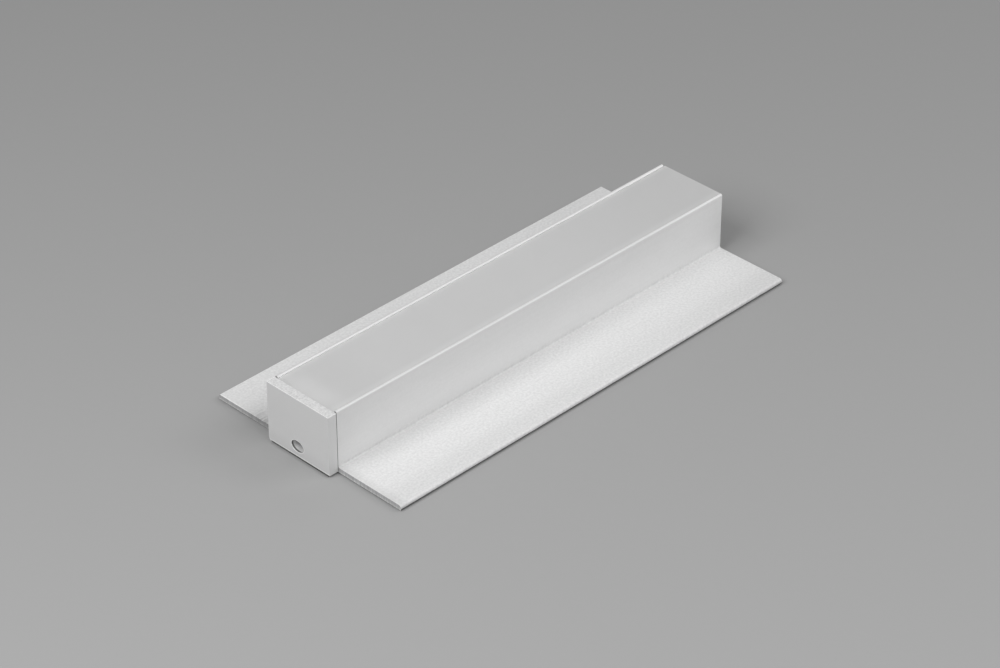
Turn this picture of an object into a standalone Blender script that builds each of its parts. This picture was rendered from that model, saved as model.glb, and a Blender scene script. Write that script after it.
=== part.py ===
"""Recessed aluminium LED profile: a channel with two wings, its clip-in diffuser and one end cap.

The channel lies along X with its capped end at -X, its width is along Y and its light comes out
towards +Z. The origin is at the bottom, in the middle of the length and of the width.
"""

import bmesh
import bpy
from math import atan2, cos, hypot, pi, radians, sin, tan

MM = 0.001

# Extrusion
PROFILE_LENGTH = 104.5 * MM
PROFILE_WIDTH = 49.4 * MM
CHANNEL_WIDTH = 16.5 * MM
BOARD_DEPTH = 12.5 * MM
WING_THICKNESS = 1.0 * MM
FLOOR_THICKNESS = 1.2 * MM
WALL_THICKNESS = 1.0 * MM
RIM_THICKNESS = 0.65 * MM
LIP_REACH = 0.7 * MM
LIP_HEIGHT = 0.9 * MM
WING_TIP_TOP_RADIUS = 0.3 * MM
WING_TIP_FOOT_RADIUS = 0.4 * MM
WALL_ROOT_RADIUS = 0.4 * MM
FLOOR_CORNER_RADIUS = 0.4 * MM
RIM_EDGE_RADIUS = 0.12 * MM
LIP_EDGE_RADIUS = 0.2 * MM

# Diffuser
COVER_THICKNESS = 1.0 * MM
COVER_RECESS = 0.35 * MM
COVER_OVERHANG = 0.45 * MM
COVER_SIDE_GAP = 0.15 * MM
COVER_EDGE_RADIUS = 0.15 * MM
CLIP_LEG_THICKNESS = 0.8 * MM
CLIP_LEG_ROOT_RADIUS = 0.3 * MM
BARB_HEIGHT = 1.2 * MM
BARB_LAND = 0.35 * MM
BARB_TOE_SETBACK = 0.15 * MM

# End cap
CAP_THICKNESS = 2.0 * MM
CAP_TOP_DROP = 0.25 * MM
CAP_LEFT_FOOT_RADIUS = 0.85 * MM
CAP_RIGHT_FOOT_RADIUS = 0.3 * MM
CAP_EDGE_BREAK = 0.1 * MM
CABLE_HOLE_WIDTH = 3.3 * MM
CABLE_HOLE_HEIGHT = 2.4 * MM
CABLE_HOLE_OFFSET = 0.3 * MM
CABLE_HOLE_CENTRE_HEIGHT = 2.65 * MM
TAB_LENGTH = 6.5 * MM
TAB_THICKNESS = 1.2 * MM
TAB_NOSE_RADIUS = 1.2 * MM

# Clearance between pieces that touch or seat on each other
FIT_GAP = 0.3 * MM

# How finely the round stretches are cut
ARC_STEPS = 6
FOOT_ARC_STEPS = 12
HOLE_SIDES = 48
EDGE_SEGMENTS = 2

# Sizes that follow from the ones above
PROFILE_HEIGHT = WING_THICKNESS + BOARD_DEPTH
COVER_LENGTH = PROFILE_LENGTH + COVER_OVERHANG
TOTAL_LENGTH = CAP_THICKNESS + FIT_GAP + COVER_LENGTH
CAP_FACE_X = -TOTAL_LENGTH / 2
CAP_BACK_X = CAP_FACE_X + CAP_THICKNESS
PROFILE_MIDDLE_X = CAP_BACK_X + FIT_GAP + PROFILE_LENGTH / 2
COVER_MIDDLE_X = CAP_BACK_X + FIT_GAP + COVER_LENGTH / 2

WALL_OUTSIDE = CHANNEL_WIDTH / 2
WALL_INSIDE = WALL_OUTSIDE - WALL_THICKNESS
RIM_INSIDE = WALL_OUTSIDE - RIM_THICKNESS
LIP_INSIDE = WALL_INSIDE - LIP_REACH

COVER_TOP = PROFILE_HEIGHT - COVER_RECESS
COVER_UNDERSIDE = COVER_TOP - COVER_THICKNESS
SEAT_HEIGHT = COVER_UNDERSIDE - FIT_GAP
LIP_UNDERSIDE = SEAT_HEIGHT - LIP_HEIGHT
BARB_TOP = LIP_UNDERSIDE - FIT_GAP
CLIP_LEG_FOOT = BARB_TOP - BARB_HEIGHT
CLIP_LEG_OUTSIDE = LIP_INSIDE - FIT_GAP
CLIP_LEG_INSIDE = CLIP_LEG_OUTSIDE - CLIP_LEG_THICKNESS

TAB_TOP = CLIP_LEG_FOOT - FIT_GAP
TAB_FOOT = FLOOR_THICKNESS + FIT_GAP
TAB_OUTSIDE = WALL_INSIDE - FIT_GAP

# Euler angles that stand a flat outline up: its X and Y become the named axes, its depth the third
ACROSS_AND_UP = (radians(90), 0, radians(90))
ALONG_AND_UP = (radians(90), 0, 0)


def clear_scene():
    """Remove every object, so that the script can be run again in an open file."""
    for old in list(bpy.data.objects):
        bpy.data.objects.remove(old, do_unlink=True)


def new_collection(name):
    """Return an empty collection that is linked to the scene."""
    old = bpy.data.collections.get(name)
    if old:
        bpy.data.collections.remove(old)
    collection = bpy.data.collections.new(name)
    bpy.context.scene.collection.children.link(collection)
    return collection


def new_material(name, colour, roughness, metallic):
    """Return a Principled material with one colour."""
    material = bpy.data.materials.new(name)
    material.use_nodes = True
    shader = material.node_tree.nodes["Principled BSDF"]
    shader.inputs["Base Color"].default_value = (*colour, 1.0)
    shader.inputs["Roughness"].default_value = roughness
    shader.inputs["Metallic"].default_value = metallic
    return material


def rounded_outline(corners, steps=ARC_STEPS):
    """Turn corners, each with its own radius, into the points of a closed outline.

    A corner of radius 0 stays sharp. A radius is limited so that its arc takes at most half of the
    shorter of the two edges that meet there.
    """
    points = []
    count = len(corners)
    for index, (x, y, radius) in enumerate(corners):
        before = corners[index - 1]
        after = corners[(index + 1) % count]
        to_before = (before[0] - x, before[1] - y)
        to_after = (after[0] - x, after[1] - y)
        edge_before = hypot(*to_before)
        edge_after = hypot(*to_after)
        angle_before = atan2(to_before[1], to_before[0])
        angle_after = atan2(to_after[1], to_after[0])
        turn = (angle_after - angle_before + pi) % (2 * pi) - pi
        half_angle = abs(turn) / 2
        longest_tangent = min(edge_before, edge_after) / 2
        radius = min(radius, longest_tangent * tan(half_angle))
        if radius <= 0:
            points.append((x, y))
            continue
        middle = angle_before + turn / 2
        reach = radius / sin(half_angle)
        centre_x = x + reach * cos(middle)
        centre_y = y + reach * sin(middle)
        sweep = pi - 2 * half_angle
        direction = 1 if turn > 0 else -1
        for step in range(steps + 1):
            swing = direction * sweep * (step / steps - 0.5)
            angle = middle + pi - swing
            points.append((centre_x + radius * cos(angle), centre_y + radius * sin(angle)))
    return points


def mirrored(half):
    """Complete a symmetric outline from the corners of its half at positive X."""
    return half + [(-x, y, radius) for x, y, radius in reversed(half)]


def new_plate(name, points, thickness, collection):
    """Return a filled flat curve of this outline, extruded to both sides of its plane."""
    curve = bpy.data.curves.new(name, "CURVE")
    curve.dimensions = "2D"
    curve.fill_mode = "BOTH"
    curve.extrude = thickness / 2
    spline = curve.splines.new("POLY")
    spline.points.add(len(points) - 1)
    for point, (x, y) in zip(spline.points, points):
        point.co = (x, y, 0, 1)
    spline.use_cyclic_u = True
    plate = bpy.data.objects.new(name, curve)
    collection.objects.link(plate)
    return plate


def curve_to_mesh(source, collection):
    """Swap a curve object for a closed mesh object of the same name and place."""
    bpy.context.view_layer.update()
    name = source.name
    place = source.matrix_world.copy()
    evaluated = source.evaluated_get(bpy.context.evaluated_depsgraph_get())
    mesh = bpy.data.meshes.new_from_object(evaluated)
    bpy.data.objects.remove(source, do_unlink=True)
    welded = bmesh.new()
    welded.from_mesh(mesh)
    bmesh.ops.remove_doubles(welded, verts=welded.verts, dist=1e-7)
    bmesh.ops.dissolve_limit(welded, angle_limit=radians(0.5), verts=welded.verts, edges=welded.edges)
    bmesh.ops.recalc_face_normals(welded, faces=welded.faces)
    welded.to_mesh(mesh)
    welded.free()
    solid = bpy.data.objects.new(name, mesh)
    solid.matrix_world = place
    collection.objects.link(solid)
    return solid


def add_boolean(target, tool, operation):
    """Join or cut the target with a tool that is kept as a hidden wire object."""
    tool.hide_render = True
    tool.display_type = "WIRE"
    boolean = target.modifiers.new(f"{operation.lower()} {tool.name}", "BOOLEAN")
    boolean.operation = operation
    boolean.solver = "EXACT"
    boolean.object = tool


def set_material(piece, material):
    """Give a piece its one material."""
    piece.data.materials.clear()
    piece.data.materials.append(material)


def build_profile(collection):
    """The extrusion: wings, channel, and the rim, seat and lip on each wall."""
    wing_tip = PROFILE_WIDTH / 2
    half = [
        (wing_tip, 0, WING_TIP_FOOT_RADIUS),
        (wing_tip, WING_THICKNESS, WING_TIP_TOP_RADIUS),
        (WALL_OUTSIDE, WING_THICKNESS, WALL_ROOT_RADIUS),
        (WALL_OUTSIDE, PROFILE_HEIGHT, RIM_EDGE_RADIUS),
        (RIM_INSIDE, PROFILE_HEIGHT, RIM_EDGE_RADIUS),
        (RIM_INSIDE, SEAT_HEIGHT, 0),
        (LIP_INSIDE, SEAT_HEIGHT, LIP_EDGE_RADIUS),
        (LIP_INSIDE, LIP_UNDERSIDE, LIP_EDGE_RADIUS),
        (WALL_INSIDE, LIP_UNDERSIDE, 0),
        (WALL_INSIDE, FLOOR_THICKNESS, FLOOR_CORNER_RADIUS),
    ]
    profile = new_plate("profile_extrusion", rounded_outline(mirrored(half)), PROFILE_LENGTH, collection)
    profile.rotation_euler = ACROSS_AND_UP
    profile.location.x = PROFILE_MIDDLE_X
    set_material(profile, new_material("satin anodised aluminium", (0.72, 0.72, 0.72), 0.38, 1.0))
    return profile


def build_cover(collection):
    """The diffuser: a flat plate between the rims, with a barbed clip leg under each side."""
    plate_side = RIM_INSIDE - COVER_SIDE_GAP
    barb_side = WALL_INSIDE - FIT_GAP
    half = [
        (plate_side, COVER_TOP, COVER_EDGE_RADIUS),
        (plate_side, COVER_UNDERSIDE, COVER_EDGE_RADIUS),
        (CLIP_LEG_OUTSIDE, COVER_UNDERSIDE, 0),
        (CLIP_LEG_OUTSIDE, BARB_TOP, 0),
        (barb_side, BARB_TOP, COVER_EDGE_RADIUS),
        (barb_side, BARB_TOP - BARB_LAND, COVER_EDGE_RADIUS),
        (CLIP_LEG_OUTSIDE - BARB_TOE_SETBACK, CLIP_LEG_FOOT, COVER_EDGE_RADIUS),
        (CLIP_LEG_INSIDE, CLIP_LEG_FOOT, COVER_EDGE_RADIUS),
        (CLIP_LEG_INSIDE, COVER_UNDERSIDE, CLIP_LEG_ROOT_RADIUS),
    ]
    cover = new_plate("diffuser_cover", rounded_outline(mirrored(half)), COVER_LENGTH, collection)
    cover.rotation_euler = ACROSS_AND_UP
    cover.location.x = COVER_MIDDLE_X
    set_material(cover, new_material("opal diffuser", (0.8, 0.8, 0.79), 0.45, 0.0))
    return cover


def build_cap_tab(side, collection, cutters):
    """One tab behind the cap, which slides into the channel beside its wall."""
    root_x = CAP_BACK_X - CAP_THICKNESS / 2
    nose_x = CAP_BACK_X + TAB_LENGTH
    corners = [
        (root_x, TAB_FOOT, 0),
        (nose_x, TAB_FOOT, TAB_NOSE_RADIUS),
        (nose_x, TAB_TOP, TAB_NOSE_RADIUS),
        (root_x, TAB_TOP, 0),
    ]
    name = "tab_left" if side > 0 else "tab_right"
    tab = new_plate(name, rounded_outline(corners), TAB_THICKNESS, collection)
    tab.rotation_euler = ALONG_AND_UP
    tab.location.y = side * (TAB_OUTSIDE - TAB_THICKNESS / 2)
    return curve_to_mesh(tab, cutters)


def oval_outline(width, height):
    """The points of an ellipse round the origin."""
    turns = [2 * pi * step / HOLE_SIDES for step in range(HOLE_SIDES)]
    return [(width / 2 * cos(turn), height / 2 * sin(turn)) for turn in turns]


def build_hole_cutter(cutters):
    """The oval bar that cuts the cable hole through the cap's plate."""
    outline = oval_outline(CABLE_HOLE_WIDTH, CABLE_HOLE_HEIGHT)
    bar = new_plate("cable_hole_cutter", outline, CAP_THICKNESS * 2, cutters)
    bar.rotation_euler = ACROSS_AND_UP
    bar.location = (CAP_FACE_X + CAP_THICKNESS / 2, CABLE_HOLE_OFFSET, CABLE_HOLE_CENTRE_HEIGHT)
    return curve_to_mesh(bar, cutters)


def build_cap(collection, cutters):
    """The end cap: a plate over the channel's end, its cable hole and its two tabs."""
    cap_side = CHANNEL_WIDTH / 2
    cap_top = PROFILE_HEIGHT - CAP_TOP_DROP
    corners = [
        (cap_side, 0, CAP_LEFT_FOOT_RADIUS),
        (cap_side, cap_top, 0),
        (-cap_side, cap_top, 0),
        (-cap_side, 0, CAP_RIGHT_FOOT_RADIUS),
    ]
    plate = new_plate("end_cap", rounded_outline(corners, FOOT_ARC_STEPS), CAP_THICKNESS, collection)
    plate.rotation_euler = ACROSS_AND_UP
    plate.location.x = CAP_FACE_X + CAP_THICKNESS / 2
    cap = curve_to_mesh(plate, collection)

    edge_break = cap.modifiers.new("broken edges", "BEVEL")
    edge_break.width = CAP_EDGE_BREAK
    edge_break.segments = EDGE_SEGMENTS
    edge_break.limit_method = "ANGLE"
    edge_break.angle_limit = radians(40)

    for side in (1, -1):
        add_boolean(cap, build_cap_tab(side, collection, cutters), "UNION")
    add_boolean(cap, build_hole_cutter(cutters), "DIFFERENCE")
    set_material(cap, new_material("satin aluminium cap", (0.66, 0.66, 0.66), 0.45, 1.0))
    return cap


def main():
    clear_scene()
    collection = new_collection("aluminium_led_profile")
    cutters = new_collection("cutters")
    origin = bpy.data.objects.new("profile_origin", None)
    collection.objects.link(origin)
    pieces = (build_profile(collection), build_cover(collection), build_cap(collection, cutters))
    for piece in pieces:
        piece.parent = origin


main()
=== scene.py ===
"""Finish and staging of a recessed aluminium LED profile: extrusion, opal diffuser and end cap.

Laid out as an add-on with one operator for each piece. Every length is in metres in the frame of the
part: X along the channel away from the cap, Y across the wings, Z up out of the diffuser.
"""

from math import cos, radians, sin

import bmesh
import bpy
from mathutils import Matrix, Vector


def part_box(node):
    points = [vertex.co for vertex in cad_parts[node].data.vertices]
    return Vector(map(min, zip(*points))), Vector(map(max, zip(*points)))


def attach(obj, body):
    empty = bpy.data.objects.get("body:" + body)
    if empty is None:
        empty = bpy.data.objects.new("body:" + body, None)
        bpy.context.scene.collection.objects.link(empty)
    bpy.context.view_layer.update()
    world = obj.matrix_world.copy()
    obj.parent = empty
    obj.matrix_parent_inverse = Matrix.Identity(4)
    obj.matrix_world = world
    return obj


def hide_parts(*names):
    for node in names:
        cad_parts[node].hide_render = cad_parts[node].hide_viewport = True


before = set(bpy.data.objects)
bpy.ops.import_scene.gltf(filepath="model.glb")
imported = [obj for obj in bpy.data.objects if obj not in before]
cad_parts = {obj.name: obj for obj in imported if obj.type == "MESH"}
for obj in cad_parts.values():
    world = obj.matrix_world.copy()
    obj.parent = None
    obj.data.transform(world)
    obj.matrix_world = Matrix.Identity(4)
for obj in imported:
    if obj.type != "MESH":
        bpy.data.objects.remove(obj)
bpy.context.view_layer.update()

PROFILE_LOW, PROFILE_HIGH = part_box("profile_extrusion")
COVER_LOW, COVER_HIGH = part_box("diffuser_cover")
CAP_LOW, CAP_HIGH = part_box("end_cap")
MM = 0.001

SPECKLE_WAVES = 2000
DRAWN_WAVES = 2600
TEETH_WAVES = 2300
SAW_WAVES = 2400

FLOOR_REACH = 6.0
FLOOR_DROP = 0.3 * MM
AIM_FROM_SAWN_END = 52.487 * MM
AIM_ACROSS = 2.369 * MM
LAMPS = (
    ("cap_side", (-0.5, 0.0, 0.5), 0.4),
    ("wall_side", (0.0, -0.5, 0.7), 0.4),
    ("right_side", (0.5, -0.5, 0.6), 0.4),
    ("right_low", (0.35, -0.5, 0.4), 0.3),
    ("far_end", (0.6, 0.2, 0.6), 0.4),
)

bl_info = {
    "name": "Recessed aluminium LED profile",
    "version": (1, 0, 0),
    "blender": (4, 5, 0),
    "location": "3D View > Sidebar > LED Profile",
    "description": "Models the pieces of a plaster-in LED profile, their finishes and a soft studio",
    "category": "Add Mesh",
}


def length(name, description, default):
    """A property that holds a length in metres."""
    return bpy.props.FloatProperty(
        name=name, description=description, default=default, min=0.0, precision=6, unit="LENGTH"
    )


def share(name, description, default):
    """A property that holds a number from 0 to 1."""
    return bpy.props.FloatProperty(
        name=name, description=description, default=default, min=0.0, max=1.0, subtype="FACTOR"
    )


def colour(name, description, default):
    """A property that holds a linear colour."""
    return bpy.props.FloatVectorProperty(
        name=name, description=description, default=default, min=0.0, max=1.0, size=3, subtype="COLOR"
    )


def power(name, description, default):
    """A property that holds a lamp's power in watts."""
    return bpy.props.FloatProperty(
        name=name, description=description, default=default, min=0.0, unit="POWER"
    )


class ExtrusionSizes(bpy.types.PropertyGroup):
    """Sizes of the extrusion's section that its outer box does not give"""

    channel_width: length("Channel width", "Width over both walls", CAP_HIGH.y - CAP_LOW.y)
    wing_thickness: length("Wing thickness", "Thickness of both wings", 1.0 * MM)
    floor_thickness: length("Floor thickness", "Thickness of the channel's floor", 1.2 * MM)
    wall_thickness: length("Wall thickness", "Thickness of a wall below its lip", 1.0 * MM)
    rim_thickness: length("Rim thickness", "Thickness of a wall beside the diffuser", 0.65 * MM)
    lip_reach: length("Lip reach", "How far the clip lip stands out of its wall", 0.7 * MM)
    lip_height: length("Lip height", "Height of the clip lip", 0.9 * MM)
    seat_gap: length("Seat gap", "Clearance between the diffuser and its seat", 0.3 * MM)
    left_tip_radius: length("Left tip radius", "Upper radius of the edge at positive Y", 0.25 * MM)
    right_tip_radius: length("Right tip radius", "Upper radius of the edge at negative Y", 0.6 * MM)
    tip_foot_break: length("Tip foot break", "Sheared lower corner of a wing's outer edge", 0.08 * MM)
    root_radius: length("Root radius", "Radius between a wing and its wall", 0.4 * MM)
    floor_radius: length("Floor radius", "Radius between the channel's floor and a wall", 0.4 * MM)
    rim_radius: length("Rim radius", "Broken outer edge along the top of a wall", 0.3 * MM)
    rim_inner_radius: length("Rim inner radius", "Broken edge of a wall beside the diffuser", 0.28 * MM)
    lip_radius: length("Lip radius", "Radius on the clip lip", 0.2 * MM)
    end_break: length("End break", "Burr left by the saw along both cut ends", 0.02 * MM)
    cap_gap: length("Cap gap", "Hairline between the end cap and the sawn end", 0.125 * MM)


class CoverSizes(bpy.types.PropertyGroup):
    """Sizes of the diffuser's section that its outer box does not give"""

    thickness: length("Thickness", "Thickness of the flat plate", 1.0 * MM)
    side_gap: length("Side gap", "Visible gap between the plate and a rim", 0.005 * MM)
    edge_radius: length("Edge radius", "Radius on the plate's long edges", 0.01 * MM)
    leg_edge_radius: length("Leg edge radius", "Radius on the edges of a clip leg", 0.15 * MM)
    leg_thickness: length("Leg thickness", "Thickness of a clip leg", 0.8 * MM)
    leg_root_radius: length("Leg root radius", "Radius between the plate and a leg", 0.3 * MM)
    barb_height: length("Barb height", "Height of the barb at a leg's foot", 1.2 * MM)
    barb_land: length("Barb land", "Upright part of the barb's outer face", 0.35 * MM)
    toe_setback: length("Toe setback", "How far a leg's toe tucks in under the barb", 0.15 * MM)
    end_break: length("End break", "Broken edge on both sawn ends", 0.03 * MM)
    cap_gap: length("Cap gap", "Gap between the end cap and the diffuser", 0.02 * MM)


class CapSizes(bpy.types.PropertyGroup):
    """Sizes of the end cap that its outer box does not give"""

    thickness: length("Thickness", "Thickness of the plate", 2.06 * MM)
    left_foot_radius: length("Left foot radius", "Radius on the lower corner at positive Y", 0.85 * MM)
    right_foot_radius: length("Right foot radius", "Radius on the lower corner at negative Y", 0.3 * MM)
    edge_break: length("Edge break", "Broken edge along the plate's top and sides", 0.09 * MM)
    hole_width: length("Hole width", "Width of the oval cable hole", 3.4 * MM)
    hole_height: length("Hole height", "Height of the oval cable hole", 2.48 * MM)
    hole_offset: length("Hole offset", "From the middle of the cap to the hole's centre", 0.35 * MM)
    hole_centre_height: length("Hole centre", "Height of the hole's centre", 2.5 * MM)
    hole_break: length("Hole break", "Broken edge at the mouth of the cable hole", 0.08 * MM)
    tab_thickness: length("Tab thickness", "Thickness of a tab behind the plate", 1.2 * MM)
    tab_nose_radius: length("Tab nose radius", "Radius on the tip of a tab", 1.2 * MM)
    tab_side_gap: length("Tab side gap", "Clearance between a tab and its wall", 0.3 * MM)
    tab_foot: length("Tab foot", "Height of a tab's lower edge", 1.5 * MM)
    tab_top: length("Tab top", "Height of a tab's upper edge", 9.15 * MM)


class ProfileFinish(bpy.types.PropertyGroup):
    """Colours and gloss of the pieces"""

    aluminium: colour("Aluminium", "Satin anodised face of the extrusion", (0.87, 0.87, 0.87))
    aluminium_roughness: share("Aluminium roughness", "Blur of the anodised face", 0.85)
    sawn: colour("Sawn aluminium", "Cut end of the extrusion", (0.675, 0.675, 0.675))
    cap: colour("Cap", "Satin face of the end cap", (0.85, 0.85, 0.85))
    cap_roughness: share("Cap roughness", "Blur of the cap's face", 0.85)
    opal: colour("Opal", "Diffuser plastic", (0.583, 0.583, 0.583))
    opal_roughness: share("Opal roughness", "Blur of the diffuser's face", 0.42)


class StageSettings(bpy.types.PropertyGroup):
    """Floor, lamps and camera"""

    floor: colour("Floor", "Plain floor", (0.354, 0.354, 0.354))
    sky: share("Sky", "Strength of the even light from all sides", 0.32)
    cap_side: power("Cap side", "Lamp high on the side of the end cap", 2.7)
    wall_side: power("Wall side", "Lamp high on the side of the nearer wall", 1.45)
    right_side: power("Right side", "Lamp high behind the nearer wall's far end", 1.35)
    right_low: power("Right low", "Lower lamp beside the nearer wall's far half", 0.16)
    far_end: power("Far end", "Lamp high beyond the open end", 0.4)
    azimuth: bpy.props.FloatProperty(
        name="Azimuth", description="Side that the camera stands on", default=radians(-45.215),
        unit="ROTATION"
    )
    elevation: bpy.props.FloatProperty(
        name="Elevation", description="Height of the camera's view", default=radians(34.316),
        unit="ROTATION"
    )
    distance: length("Distance", "From the camera to the point that it looks at", 654.2 * MM)
    lens: bpy.props.FloatProperty(
        name="Lens", description="Focal length in millimetres on a 36 mm sensor", default=121.54
    )


def mirrored(half):
    """Complete a symmetric outline from its half at positive Y."""
    return half + [(-y, z, radius) for y, z, radius in reversed(half)]


def swept_solid(corners, start, end, arc_segments):
    """Sweep a section along X, then round each of its long edges by its own radius."""
    mesh = bmesh.new()
    section = mesh.faces.new([mesh.verts.new((start, y, z)) for y, z, radius in corners])
    swept = bmesh.ops.extrude_face_region(mesh, geom=[section])["geom"]
    moved = [part for part in swept if isinstance(part, bmesh.types.BMVert)]
    bmesh.ops.translate(mesh, verts=moved, vec=(end - start, 0, 0))
    bmesh.ops.recalc_face_normals(mesh, faces=mesh.faces)
    for radius in sorted({corner[2] for corner in corners if corner[2] > 0}):
        spots = [(y, z) for y, z, own in corners if own == radius]
        long_edges = [edge for edge in mesh.edges if runs_along_x_at(edge, spots)]
        break_edges(mesh, long_edges, radius, arc_segments)
    return mesh


def runs_along_x_at(edge, spots):
    """Whether an edge lies along X at one of these points of the section."""
    low, high = (vert.co for vert in edge.verts)
    if abs(low.x - high.x) < MM:
        return False
    return any(abs(low.y - y) < 1e-6 and abs(low.z - z) < 1e-6 for y, z in spots)


def break_edges(mesh, edges, radius, segments):
    """Round edges with an arc of this radius."""
    bmesh.ops.bevel(
        mesh, geom=edges, offset=radius, offset_type="OFFSET", affect="EDGES",
        segments=segments, profile=0.5, material=-1, clamp_overlap=True,
    )


def sharp_edges_at(mesh, stations, least_turn=radians(40)):
    """Edges that lie across X at one of these stations, where two faces meet at a clear angle."""
    found = []
    for edge in mesh.edges:
        low, high = (vert.co for vert in edge.verts)
        if len(edge.link_faces) != 2 or edge.calc_face_angle() < least_turn:
            continue
        if any(abs(low.x - x) < 1e-6 and abs(high.x - x) < 1e-6 for x in stations):
            found.append(edge)
    return found


def finish_piece(mesh, name, material, node):
    """Turn a bmesh into the shown piece that stands for a solid of the frame."""
    bmesh.ops.recalc_face_normals(mesh, faces=mesh.faces)
    data = bpy.data.meshes.new(name)
    mesh.to_mesh(data)
    mesh.free()
    data.shade_smooth()
    data.set_sharp_from_angle(angle=radians(50))
    data.materials.append(material)
    piece = bpy.data.objects.new(name, data)
    bpy.context.scene.collection.objects.link(piece)
    normals = piece.modifiers.new("even shading", "WEIGHTED_NORMAL")
    normals.keep_sharp = True
    normals.weight = 100
    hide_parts(node)
    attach(piece, "root")
    return piece


def extrusion_corners(sizes, tip_radius):
    """Half of the extrusion's section as (across, up, radius), from the wing's tip to the floor."""
    outside = sizes.channel_width / 2
    inside = outside - sizes.wall_thickness
    rim = outside - sizes.rim_thickness
    lip = inside - sizes.lip_reach
    top = PROFILE_HIGH.z
    seat = seat_height(sizes)
    return [
        (PROFILE_HIGH.y - sizes.tip_foot_break, PROFILE_LOW.z, 0),
        (PROFILE_HIGH.y, PROFILE_LOW.z + sizes.tip_foot_break, 0),
        (PROFILE_HIGH.y, sizes.wing_thickness, tip_radius),
        (outside, sizes.wing_thickness, sizes.root_radius),
        (outside, top, sizes.rim_radius),
        (rim, top, sizes.rim_inner_radius),
        (rim, seat, 0),
        (lip, seat, sizes.lip_radius),
        (lip, seat - sizes.lip_height, sizes.lip_radius),
        (inside, seat - sizes.lip_height, 0),
        (inside, sizes.floor_thickness, sizes.floor_radius),
    ]


def seat_height(sizes):
    """Height of the ledge that the diffuser's plate rests on."""
    cover = bpy.context.scene.led_profile_cover
    return COVER_HIGH.z - cover.thickness - sizes.seat_gap


def cap_back(scene):
    """The face of the end cap's plate that the channel is pushed against."""
    return CAP_LOW.x + scene.led_profile_cap.thickness


def cover_corners(sizes, channel):
    """Half of the diffuser's section as (across, up, radius), from the plate's edge to its middle."""
    inside = channel.channel_width / 2 - channel.wall_thickness
    plate = channel.channel_width / 2 - channel.rim_thickness - sizes.side_gap
    underside = COVER_HIGH.z - sizes.thickness
    leg = inside - channel.lip_reach - channel.seat_gap
    barb = inside - channel.seat_gap
    barb_top = COVER_LOW.z + sizes.barb_height
    return [
        (plate, COVER_HIGH.z, sizes.edge_radius),
        (plate, underside, sizes.edge_radius),
        (leg, underside, 0),
        (leg, barb_top, 0),
        (barb, barb_top, sizes.leg_edge_radius),
        (barb, barb_top - sizes.barb_land, sizes.leg_edge_radius),
        (leg - sizes.toe_setback, COVER_LOW.z, sizes.leg_edge_radius),
        (leg - sizes.leg_thickness, COVER_LOW.z, sizes.leg_edge_radius),
        (leg - sizes.leg_thickness, underside, sizes.leg_root_radius),
    ]


class Signal:
    """A shader socket. Arithmetic on it adds Math nodes, and node() adds any other node."""

    def __init__(self, tree, socket=None):
        self.tree = tree
        self.socket = socket

    def node(self, kind, settings=None, sockets=None, output=0):
        """Add a node, set it up, fill or link its sockets, and return one of its outputs."""
        made = self.tree.nodes.new(kind)
        for name, value in (settings or {}).items():
            setattr(made, name, value)
        for name, value in (sockets or {}).items():
            if isinstance(value, Signal):
                self.tree.links.new(value.socket, made.inputs[name])
            else:
                made.inputs[name].default_value = value
        return Signal(self.tree, made.outputs[output])

    def other(self, name):
        """Another output of the same node."""
        return Signal(self.tree, self.socket.node.outputs[name])

    def math(self, operation, first, second=0.0, third=0.0):
        """Add a Math node."""
        return self.node("ShaderNodeMath", {"operation": operation}, {0: first, 1: second, 2: third})

    def __add__(self, value):
        return self.math("ADD", self, value)

    def __radd__(self, value):
        return self.math("ADD", value, self)

    def __sub__(self, value):
        return self.math("SUBTRACT", self, value)

    def __rsub__(self, value):
        return self.math("SUBTRACT", value, self)

    def __mul__(self, value):
        return self.math("MULTIPLY", self, value)

    def __rmul__(self, value):
        return self.math("MULTIPLY", value, self)

    def __truediv__(self, value):
        return self.math("DIVIDE", self, value)

    def __abs__(self):
        return self.math("ABSOLUTE", self)

    def __gt__(self, value):
        return self.math("GREATER_THAN", self, value)

    def __lt__(self, value):
        return self.math("LESS_THAN", self, value)


def new_material(name):
    """A material with its start signal, its Principled shader and its Object coordinates."""
    material = bpy.data.materials.new(name)
    material.use_nodes = True
    shader = material.node_tree.nodes["Principled BSDF"]
    start = Signal(material.node_tree)
    place = start.node("ShaderNodeTexCoord", output="Object")
    return material, shader, place


def rise(signal, low, high):
    """A soft step from 0 at low to 1 at high."""
    return signal.node(
        "ShaderNodeMapRange",
        {"interpolation_type": "SMOOTHSTEP"},
        {"Value": signal, "From Min": low, "From Max": high},
    )


def noise(place, scale, detail=2.0, roughness=0.5, stretch=(1, 1, 1), turn=(0, 0, 0)):
    """Noise from -1 to 1 or so, with this many waves a metre, drawn out where stretch is under 1."""
    mapped = place.node(
        "ShaderNodeMapping", None, {"Vector": place, "Scale": stretch, "Rotation": turn}
    )
    grey = place.node(
        "ShaderNodeTexNoise", None,
        {"Vector": mapped, "Scale": scale, "Detail": detail, "Roughness": roughness},
    )
    return grey * 2.0 - 1.0


def coordinates(place):
    """The three parts of the place on the part."""
    split = place.node("ShaderNodeSeparateXYZ", None, {0: place})
    return split, split.other("Y"), split.other("Z")


def scaled_colour(start, tint, factor):
    """A constant colour times a changing factor."""
    return start.node(
        "ShaderNodeVectorMath", {"operation": "SCALE"}, {0: tuple(tint), "Scale": factor}
    )


def mixed(start, factor, first, second):
    """A colour between two, by a factor."""
    blended = start.node(
        "ShaderNodeMix", {"data_type": "RGBA", "clamp_factor": True},
        {0: factor, 6: first, 7: second}, output=2,
    )
    return blended


def link(material, shader, name, signal):
    """Feed a signal to one of the shader's sockets."""
    material.node_tree.links.new(signal.socket, shader.inputs[name])


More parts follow.
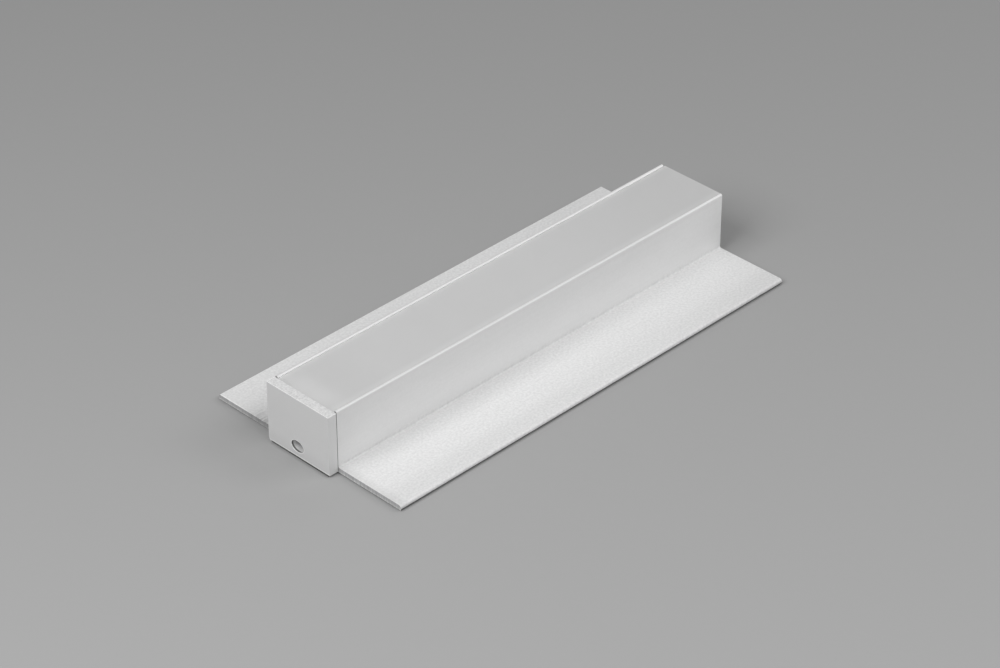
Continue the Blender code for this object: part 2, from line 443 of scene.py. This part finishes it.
def bumped(start, height, distance, strength=1.0):
    """A normal from a height between -1 and 1."""
    return start.node(
        "ShaderNodeBump", None, {"Height": height, "Distance": distance, "Strength": strength}
    )


def aluminium_material(finish, start, end):
    """Satin anodised extrusion whose sawn ends lie at start and end."""
    material, shader, place = new_material("satin anodised extrusion")
    x, y, z = coordinates(place)
    speckle = noise(place, SPECKLE_WAVES, 2.0)
    drawn = noise(place, DRAWN_WAVES, 2.0, stretch=(0.02, 1, 1))
    cloud = noise(place, 45, 3.0)
    on_wing = 1.0 - rise(z, 1.2 * MM, 2.4 * MM)
    # painted shade on the left wing beside the cap; the same region bounds the ragged sawn edge
    beside_cap = shade_beside_cap(x, y, start) * on_wing
    tone = 1.0 + speckle * (0.03 + on_wing * 0.09) + drawn * 0.012 + cloud * 0.01
    tone = painted_shade_and_sheen_near_half(tone, x, y, z)
    tone = painted_light_on_long_edges(tone, y, z, speckle)
    tone = shaded_along_length(tone, x, y, z, on_wing, start)
    tone = shade_and_glint_near_cap(tone, place, x, y, start, beside_cap)
    at_end = sawn_end_mask(place, x, start, end, beside_cap)
    saw_lines = noise(place, SAW_WAVES, 3.0, stretch=(1, 1, 0.12), turn=(0.35, 0, 0))
    faces = scaled_colour(place, finish.aluminium, tone)
    ends = scaled_colour(place, finish.sawn, sawn_tone(y, z, saw_lines))
    link(material, shader, "Base Color", mixed(place, at_end, faces, ends))
    link(material, shader, "Roughness", finish.aluminium_roughness + speckle * 0.05 + at_end * 0.1)
    shader.inputs["Metallic"].default_value = 1.0
    height = speckle * 0.7 + drawn * 0.2 + at_end * saw_lines * 2.0
    link(material, shader, "Normal", bumped(place, height, 0.004 * MM, 0.6))
    return material


def shade_beside_cap(x, y, start):
    """Where painted shade falls on the left wing beside the cap, from 0 to 1."""
    across = rise(y, 18.0 * MM, 12.0 * MM) * (y > 0.0)
    return across * rise(x, start + 4.5 * MM, start)


def painted_shade_and_sheen_near_half(tone, x, y, z):
    """Painted shade at the walls' roots, a painted sheen along the middle of the right wing, and painted
    light on the walls.
    """
    near_half = 1.0 - rise(x, -20 * MM, 40 * MM)
    foot = (1.0 - rise(z, 1.1 * MM, 1.6 * MM)) * 0.6 + (1.0 - rise(z, 1.5 * MM, 4.0 * MM)) * 0.4
    # painted shade where the walls meet the wings, stronger in the near half
    root = (1.0 - rise(abs(y), 9.0 * MM, 13.0 * MM)) * foot
    tone = tone * (1.0 - root * (0.02 + near_half * 0.035))
    # painted sheen along the middle of the right wing
    painted_sheen = rise(y, -12 * MM, -14.5 * MM) * rise(y, -22 * MM, -18 * MM)
    # the painted sheen in the near half, and painted light on the walls
    return tone + painted_sheen * near_half * 0.035 + rise(z, 1.6 * MM, 2.0 * MM) * 0.02


def painted_light_on_long_edges(tone, y, z, speckle):
    """A painted contact shadow along the foot of the wing tips, painted shade on the rounded root, and on
    the left rim a painted highlight on its inner face with its top painted a little darker.
    """
    # painted contact shadow along the foot of each wing's outer edge
    tip_foot_shadow = rise(abs(y), PROFILE_HIGH.y - 0.12 * MM, PROFILE_HIGH.y - 0.05 * MM)
    tip_foot_shadow = tip_foot_shadow * (1.0 - rise(z + speckle * 0.03 * MM, 0.22 * MM, 0.32 * MM))
    tone = tone * (1.0 - tip_foot_shadow * 0.72)
    # painted shade on the rounded root between wing and wall
    root_fillet_shade = rise(abs(y), 8.9 * MM, 8.6 * MM) * rise(z, 1.7 * MM, 1.4 * MM)
    tone = tone * (1.0 - root_fillet_shade * 0.012)
    # painted highlight on the left rim's inner face, its top painted a little darker
    left_rim = (y > 0.0) * (z > 12.9 * MM)
    rim_foot = rise(abs(y), 7.74 * MM, 7.6 * MM)
    rim_crest = rise(abs(y), 7.7 * MM, 7.85 * MM)
    return tone + left_rim * (rim_foot * 0.12 - rim_crest * 0.075)


def shaded_along_length(tone, x, y, z, on_wing, start):
    """Painted shade towards the open end of the wings, painted light on the near left wing and on the
    upper walls towards the open end, and a darker strip beside the right sawn edge.
    """
    # painted shade on the wings towards the open end
    far_wing_shade = rise(x, 15.0 * MM, 50.0 * MM) * on_wing * (rise(y, -18 * MM, -22 * MM) + (y > 0.0))
    tone = tone * (1.0 - far_wing_shade * 0.04)
    # a darker strip beside the right sawn edge
    sawn_side = rise(x, start + 2.4 * MM, start + 0.4 * MM) * (y < -8.4 * MM)
    tone = tone * (1.0 - sawn_side * 0.05)
    # painted light on the near part of the left wing
    tone = tone + rise(y, 16 * MM, 20 * MM) * (1.0 - rise(x, -45 * MM, -10 * MM)) * 0.02
    # painted light on the upper walls towards the open end
    return tone + rise(x, 28 * MM, 55 * MM) * rise(z, 5 * MM, 12 * MM) * 0.06


def shade_and_glint_near_cap(tone, place, x, y, start, beside_cap):
    """Painted shade broken by drag streaks beside the cap, and a painted highlight along the left sawn
    edge.
    """
    drag = noise(place, DRAWN_WAVES, 2.0, stretch=(0.1, 1, 1))
    # painted shade beside the cap, broken by drag streaks
    tone = tone * (1.0 - beside_cap * (0.16 + drag * 0.3))
    # painted highlight along the left sawn edge
    burr_glint = rise(x, start + 0.35 * MM, start + 0.2 * MM) * rise(y, 15 * MM, 18 * MM)
    return tone + burr_glint * 0.08


def sawn_end_mask(place, x, start, end, beside_cap):
    """1 on both sawn ends, with a ragged edge on the wing beside the cap."""
    middle = (start + end) / 2
    half_length = (end - start) / 2
    teeth = rise(noise(place, TEETH_WAVES, 2.0, stretch=(0.1, 1, 1)), 0.0, 0.5)
    teeth = teeth * beside_cap * (x < middle)
    out = abs(x - middle) + teeth * 0.25 * MM
    return rise(out, half_length - 0.03 * MM, half_length - 0.01 * MM)


def sawn_tone(y, z, saw_lines):
    """Saw lines, painted shade towards the cap on the left and painted light towards the foot."""
    # painted shade on the left sawn end where it meets the cap
    cap_corner_shade = rise(y, 23.0 * MM, 11.0 * MM) * (y > 0.0)
    tone = (1.0 + saw_lines * 0.25) * (1.0 - cap_corner_shade * 0.22)
    # painted light towards the foot of the sawn ends
    return tone * (0.93 + rise(z, 0.65 * MM, 0.1 * MM) * 0.2)


def cap_material(finish, sizes):
    """Satin cap with a coarser grain on its sawn top, painted highlights on its edges and round the
    hole's mouth, painted light and a painted dark ring in the bore, and painted shade at its foot.
    """
    material, shader, place = new_material("satin cap")
    x, y, z = coordinates(place)
    speckle = noise(place, 3200, 1.0)
    cloud = noise(place, 120, 2.0)
    on_top = rise(z, CAP_HIGH.z - 0.06 * MM, CAP_HIGH.z - 0.03 * MM)
    grain = noise(place, 2600, 2.0)
    tone = 1.0 + speckle * 0.012 + cloud * 0.01 + on_top * grain * 0.2
    depth = x - CAP_LOW.x
    at_front = 1.0 - rise(depth, 0.1 * MM, 0.13 * MM)
    at_crest = rise(z, CAP_HIGH.z - 0.14 * MM, CAP_HIGH.z - 0.1 * MM)
    at_side = rise(abs(y), CAP_HIGH.y - 0.14 * MM, CAP_HIGH.y - 0.1 * MM)
    at_foot = 1.0 - rise(z, 0.45 * MM, 0.6 * MM)
    across = (y - sizes.hole_offset) / (sizes.hole_width / 2)
    up = (z - sizes.hole_centre_height) / (sizes.hole_height / 2)
    from_hole = place.math("SQRT", across * across + up * up)
    # painted highlight round the mouth of the hole
    ring = at_front * (1.0 - rise(from_hole, 1.07, 1.13))
    # painted highlights along the top, side and foot edges and round the hole
    edge_highlight = at_crest * at_front + at_crest * at_side + at_foot * at_front * 0.6 + ring * 0.75
    tone = tone * (1.0 + rise(edge_highlight, 0.0, 1.0) * 0.19)
    in_bore = 1.0 - rise(from_hole, 1.0, 1.02)
    # painted shadow as a dark ring on the lower side of the bore; the mesh has no recess there
    bore_ring_shadow = in_bore * rise(depth, 0.12 * MM, 0.16 * MM) * (1.0 - rise(depth, 0.42 * MM, 0.52 * MM))
    bore_ring_shadow = bore_ring_shadow * rise(across - up * 0.3, -0.8, 0.4)
    # painted light on the bore's wall
    tone = tone + in_bore * rise(depth, 0.1 * MM, 0.2 * MM) * 0.04
    tone = tone * (1.0 - bore_ring_shadow * 0.7)
    # painted shade on the front face, darker towards the foot
    tone = tone * (1.0 - at_front * (1.0 - rise(z, 0.4 * MM, 4.0 * MM)) * 0.03)
    # painted contact shadow along the foot of the front face
    foot_contact_shadow = at_front * (1.0 - rise(z, 0.2 * MM, 0.25 * MM)) * rise(y, 7.9 * MM, 7.2 * MM)
    tone = tone * (1.0 - foot_contact_shadow * 0.93)
    link(material, shader, "Base Color", scaled_colour(place, finish.cap, tone))
    link(material, shader, "Roughness", finish.cap_roughness + speckle * 0.04)
    shader.inputs["Metallic"].default_value = 1.0
    height = speckle * 0.4 + on_top * grain
    link(material, shader, "Normal", bumped(place, height, 0.004 * MM, 0.6))
    return material


def opal_material(finish):
    """Opal plastic that lets a little light through, with painted shade towards the open end and in a
    band near the cap, and painted light near the cap and beside both rims.
    """
    material, shader, place = new_material("opal diffuser")
    x, y, z = coordinates(place)
    fine = noise(place, 2500, 1.0)
    cloud = noise(place, 30, 2.0)
    tone = 1.0 + fine * 0.003 + cloud * 0.008
    # painted shade towards the open end
    tone = tone * (1.0 - rise(x, 5 * MM, 62 * MM) * 0.09)
    # painted light in the middle near the cap
    tone = tone + rise(x, -46.0 * MM, -50.0 * MM) * (1.0 - rise(abs(y), 2.0 * MM, 7.0 * MM)) * 0.07
    # painted shade in a band a little way from the cap
    tone = tone - (rise(x, -48.5 * MM, -45 * MM) - rise(x, -43 * MM, -34 * MM)) * 0.03
    # painted light beside both rims, as if reflected from them
    tone = tone + rise(y, -5.6 * MM, -7.4 * MM) * 0.08 + rise(y, 6.3 * MM, 7.5 * MM) * 0.12
    tone = tone + rise(y, 7.2 * MM, 7.5 * MM) * 0.1
    link(material, shader, "Base Color", scaled_colour(place, finish.opal, tone))
    link(material, shader, "Roughness", finish.opal_roughness + fine * 0.02)
    shader.inputs["Subsurface Weight"].default_value = 0.7
    shader.inputs["Subsurface Radius"].default_value = (1.0, 1.0, 1.0)
    shader.inputs["Subsurface Scale"].default_value = 2.0 * MM
    link(material, shader, "Normal", bumped(place, fine, 0.002 * MM, 0.3))
    return material


def floor_material(stage):
    """Plain floor with a faint mottle and painted light that grows towards the camera's side."""
    material, shader, place = new_material("studio floor")
    x, y, z = coordinates(place)
    fine = noise(place, 900, 2.0)
    # painted light growing towards the camera's side
    camera_side_light = rise(x * -0.71 + y * -0.71, -0.2, 0.2)
    tone = 0.916 + camera_side_light * 0.22 + fine * 0.006
    link(material, shader, "Base Color", scaled_colour(place, stage.floor, tone))
    shader.inputs["Roughness"].default_value = 0.9
    shader.inputs["Specular IOR Level"].default_value = 0.2
    return material


class MESH_OT_led_extrusion(bpy.types.Operator):
    """Model the winged aluminium channel"""

    bl_idname = "mesh.led_profile_extrusion"
    bl_label = "Extrusion"

    def execute(self, context):
        scene = context.scene
        sizes = scene.led_profile_extrusion
        left = extrusion_corners(sizes, sizes.left_tip_radius)
        right = extrusion_corners(sizes, sizes.right_tip_radius)
        corners = left + mirrored(right)[len(right):]
        start = cap_back(scene) + sizes.cap_gap
        mesh = swept_solid(corners, start, PROFILE_HIGH.x, 8)
        ends = sharp_edges_at(mesh, (start, PROFILE_HIGH.x))
        break_edges(mesh, ends, sizes.end_break, 2)
        finish_piece(
            mesh, "winged_channel",
            aluminium_material(scene.led_profile_finish, start, PROFILE_HIGH.x),
            "profile_extrusion",
        )
        return {"FINISHED"}


class MESH_OT_led_cover(bpy.types.Operator):
    """Model the opal diffuser with its two clip legs"""

    bl_idname = "mesh.led_profile_cover"
    bl_label = "Diffuser"

    def execute(self, context):
        scene = context.scene
        sizes = scene.led_profile_cover
        corners = mirrored(cover_corners(sizes, scene.led_profile_extrusion))
        start = cap_back(scene) + sizes.cap_gap
        mesh = swept_solid(corners, start, COVER_HIGH.x, 4)
        ends = sharp_edges_at(mesh, (start, COVER_HIGH.x))
        break_edges(mesh, ends, sizes.end_break, 2)
        finish_piece(
            mesh, "opal_cover", opal_material(scene.led_profile_finish), "diffuser_cover"
        )
        return {"FINISHED"}


class MESH_OT_led_cap(bpy.types.Operator):
    """Model the end cap with its cable hole and tabs"""

    bl_idname = "mesh.led_profile_cap"
    bl_label = "End cap"

    def execute(self, context):
        scene = context.scene
        sizes = scene.led_profile_cap
        mesh = bmesh.new()
        for side in (1, -1):
            half = self.half_plate(sizes, side)
            self.add_tab(half, sizes, scene.led_profile_extrusion, side)
            part = bpy.data.meshes.new("half cap")
            half.to_mesh(part)
            half.free()
            mesh.from_mesh(part)
            bpy.data.meshes.remove(part)
        self.complete(mesh, sizes)
        self.break_outer_edges(mesh, sizes)
        finish_piece(
            mesh, "cable_end_cap", cap_material(scene.led_profile_finish, sizes), "end_cap"
        )
        return {"FINISHED"}

    def half_plate(self, sizes, side):
        """The plate on one side of the hole's centre line, round its half of the hole."""
        mesh = bmesh.new()
        centre = Vector((CAP_LOW.x, sizes.hole_offset, sizes.hole_centre_height))
        stand_up = Matrix.Rotation(radians(90), 4, "Y")
        oval = Matrix.Diagonal((sizes.hole_height / 2, sizes.hole_width / 2, 1, 1))
        bmesh.ops.create_circle(
            mesh, cap_ends=False, segments=96, radius=1.0,
            matrix=Matrix.Translation(centre) @ stand_up @ oval,
        )
        bmesh.ops.bisect_plane(
            mesh, geom=mesh.verts[:] + mesh.edges[:], dist=1e-7, plane_co=centre,
            plane_no=(0, side, 0), clear_inner=True,
        )
        on_line = (vert for vert in mesh.verts if abs(vert.co.y - centre.y) < 1e-7)
        mouth = sorted(on_line, key=lambda vert: vert.co.z)
        outer = side * CAP_HIGH.y
        outline = [mouth[0]]
        for y, z in (
            (centre.y, CAP_LOW.z), (outer, CAP_LOW.z), (outer, CAP_HIGH.z), (centre.y, CAP_HIGH.z)
        ):
            outline.append(mesh.verts.new((CAP_LOW.x, y, z)))
        outline.append(mouth[1])
        for before, after in zip(outline, outline[1:]):
            mesh.edges.new((before, after))
        face = bmesh.ops.contextual_create(mesh, geom=mesh.edges[:])["faces"][0]
        swept = bmesh.ops.extrude_face_region(mesh, geom=[face])["geom"]
        moved = [part for part in swept if isinstance(part, bmesh.types.BMVert)]
        bmesh.ops.translate(mesh, verts=moved, vec=(sizes.thickness, 0, 0))
        on_line = [
            face for face in mesh.faces if all(abs(vert.co.y - centre.y) < 1e-7 for vert in face.verts)
        ]
        bmesh.ops.delete(mesh, geom=on_line, context="FACES_ONLY")
        loose = [edge for edge in mesh.edges if not edge.link_faces]
        bmesh.ops.delete(mesh, geom=loose, context="EDGES")
        return mesh

    def add_tab(self, mesh, sizes, channel, side):
        """Draw the tab's root on the back of the plate and pull it out into the channel."""
        back = CAP_LOW.x + sizes.thickness
        reach = channel.channel_width / 2 - channel.wall_thickness - sizes.tab_side_gap
        outer = side * reach
        inner = side * (reach - sizes.tab_thickness)
        cuts = (
            ((0, inner, 0), (0, 1, 0)), ((0, outer, 0), (0, 1, 0)),
            ((0, 0, sizes.tab_foot), (0, 0, 1)), ((0, 0, sizes.tab_top), (0, 0, 1)),
        )
        for point, normal in cuts:
            rear = [face for face in mesh.faces if all(abs(v.co.x - back) < 1e-6 for v in face.verts)]
            around = set(rear)
            for face in rear:
                around.update(face.edges)
                around.update(face.verts)
            bmesh.ops.bisect_plane(mesh, geom=list(around), dist=1e-7, plane_co=point, plane_no=normal)
        middle = Vector((back, (inner + outer) / 2, (sizes.tab_foot + sizes.tab_top) / 2))
        root = min(mesh.faces, key=lambda face: (face.calc_center_median() - middle).length)
        swept = bmesh.ops.extrude_face_region(mesh, geom=[root])["geom"]
        bmesh.ops.delete(mesh, geom=[root], context="FACES_ONLY")
        moved = [part for part in swept if isinstance(part, bmesh.types.BMVert)]
        bmesh.ops.translate(mesh, verts=moved, vec=(CAP_HIGH.x - back, 0, 0))
        nose = [
            edge for edge in mesh.edges
            if all(abs(vert.co.x - CAP_HIGH.x) < 1e-6 for vert in edge.verts)
            and abs(edge.verts[0].co.z - edge.verts[1].co.z) < 1e-6
        ]
        break_edges(mesh, nose, sizes.tab_nose_radius, 8)

    def complete(self, mesh, sizes):
        """Weld the halves along the hole's centre line, then round both lower corners."""
        bmesh.ops.remove_doubles(mesh, verts=mesh.verts, dist=1e-6)
        bmesh.ops.recalc_face_normals(mesh, faces=mesh.faces)
        feet = ((CAP_HIGH.y, sizes.left_foot_radius), (CAP_LOW.y, sizes.right_foot_radius))
        for y, radius in feet:
            corner = [edge for edge in mesh.edges if runs_along_x_at(edge, [(y, CAP_LOW.z)])]
            break_edges(mesh, corner, radius, 12)

    def break_outer_edges(self, mesh, sizes):
        """Break the plate's upper and upright edges and the mouth of its hole. The foot stays sharp."""
        faces_x = (CAP_LOW.x, CAP_LOW.x + sizes.thickness)
        side = CAP_HIGH.y
        centre = Vector((sizes.hole_offset, sizes.hole_centre_height))
        reach = sizes.hole_width / 2 + 0.1 * MM
        edges = sharp_edges_at(mesh, faces_x)
        mouth = []
        outer = []
        for edge in edges:
            middle = (edge.verts[0].co + edge.verts[1].co) / 2
            if (Vector((middle.y, middle.z)) - centre).length < reach:
                mouth.append(edge)
            elif abs(middle.y) > side - 0.01 * MM or middle.z > CAP_HIGH.z - 0.01 * MM:
                outer.append(edge)
        for y in (side, -side):
            outer += [edge for edge in mesh.edges if runs_along_x_at(edge, [(y, CAP_HIGH.z)])]
        break_edges(mesh, outer, sizes.edge_break, 3)
        mouth = [edge for edge in mouth if edge.is_valid]
        break_edges(mesh, mouth, sizes.hole_break, 2)


class SCENE_OT_led_stage(bpy.types.Operator):
    """Set up the plain floor, the soft lamps and the camera"""

    bl_idname = "scene.led_profile_stage"
    bl_label = "Studio"

    def execute(self, context):
        stage = context.scene.led_profile_stage
        self.add_floor(context, stage)
        self.add_sky(context, stage)
        for name, place, width in LAMPS:
            self.add_lamp(context, name, place, width, getattr(stage, name))
        self.add_camera(context, stage)
        context.scene.view_settings.view_transform = "Standard"
        return {"FINISHED"}

    def add_floor(self, context, stage):
        """A wide floor just below the part."""
        mesh = bmesh.new()
        bmesh.ops.create_grid(
            mesh, x_segments=1, y_segments=1, size=FLOOR_REACH,
            matrix=Matrix.Translation((0, 0, -FLOOR_DROP)),
        )
        data = bpy.data.meshes.new("studio_floor")
        mesh.to_mesh(data)
        mesh.free()
        data.materials.append(floor_material(stage))
        floor = bpy.data.objects.new("studio_floor", data)
        context.scene.collection.objects.link(floor)

    def add_sky(self, context, stage):
        """Even light from all sides."""
        world = bpy.data.worlds.new("even light")
        world.use_nodes = True
        background = world.node_tree.nodes["Background"]
        background.inputs["Color"].default_value = (1, 1, 1, 1)
        background.inputs["Strength"].default_value = stage.sky
        context.scene.world = world

    def add_lamp(self, context, name, place, width, power):
        """A square soft lamp that faces the part."""
        lamp = bpy.data.lights.new(name, "AREA")
        lamp.shape = "SQUARE"
        lamp.size = width
        lamp.energy = power
        stand = bpy.data.objects.new(name, lamp)
        stand.location = place
        stand.rotation_euler = (-Vector(place)).to_track_quat("-Z", "Y").to_euler()
        context.scene.collection.objects.link(stand)

    def add_camera(self, context, stage):
        """The camera at the photograph's angle."""
        back = Vector((
            sin(stage.azimuth) * cos(stage.elevation),
            -cos(stage.azimuth) * cos(stage.elevation),
            sin(stage.elevation),
        ))
        aim = Vector((PROFILE_LOW.x + AIM_FROM_SAWN_END, AIM_ACROSS, 0))
        data = bpy.data.cameras.new("photo camera")
        data.sensor_width = 36.0
        data.sensor_fit = "HORIZONTAL"
        data.lens = stage.lens
        data.clip_start = 10 * MM
        camera = bpy.data.objects.new("photo_camera", data)
        camera.location = aim + back * stage.distance
        camera.rotation_euler = (-back).to_track_quat("-Z", "Y").to_euler()
        context.scene.collection.objects.link(camera)
        context.scene.camera = camera


class VIEW3D_PT_led_profile(bpy.types.Panel):
    """Buttons for the pieces of the LED profile"""

    bl_idname = "VIEW3D_PT_led_profile"
    bl_label = "LED Profile"
    bl_space_type = "VIEW_3D"
    bl_region_type = "UI"
    bl_category = "LED Profile"

    def draw(self, context):
        for operator in OPERATORS:
            self.layout.operator(operator.bl_idname)


SETTINGS = {
    "led_profile_extrusion": ExtrusionSizes,
    "led_profile_cover": CoverSizes,
    "led_profile_cap": CapSizes,
    "led_profile_finish": ProfileFinish,
    "led_profile_stage": StageSettings,
}
OPERATORS = (MESH_OT_led_extrusion, MESH_OT_led_cover, MESH_OT_led_cap, SCENE_OT_led_stage)


def register():
    """Add the settings, the operators and the panel."""
    for name, group in SETTINGS.items():
        bpy.utils.register_class(group)
        setattr(bpy.types.Scene, name, bpy.props.PointerProperty(type=group))
    for operator in OPERATORS:
        bpy.utils.register_class(operator)
    bpy.utils.register_class(VIEW3D_PT_led_profile)


def unregister():
    """Take the panel, the operators and the settings away."""
    bpy.utils.unregister_class(VIEW3D_PT_led_profile)
    for operator in reversed(OPERATORS):
        bpy.utils.unregister_class(operator)
    for name, group in reversed(SETTINGS.items()):
        delattr(bpy.types.Scene, name)
        bpy.utils.unregister_class(group)


def main():
    """Build every piece and the studio."""
    register()
    bpy.ops.mesh.led_profile_extrusion()
    bpy.ops.mesh.led_profile_cover()
    bpy.ops.mesh.led_profile_cap()
    bpy.ops.scene.led_profile_stage()


if __name__ == "__main__":
    main()
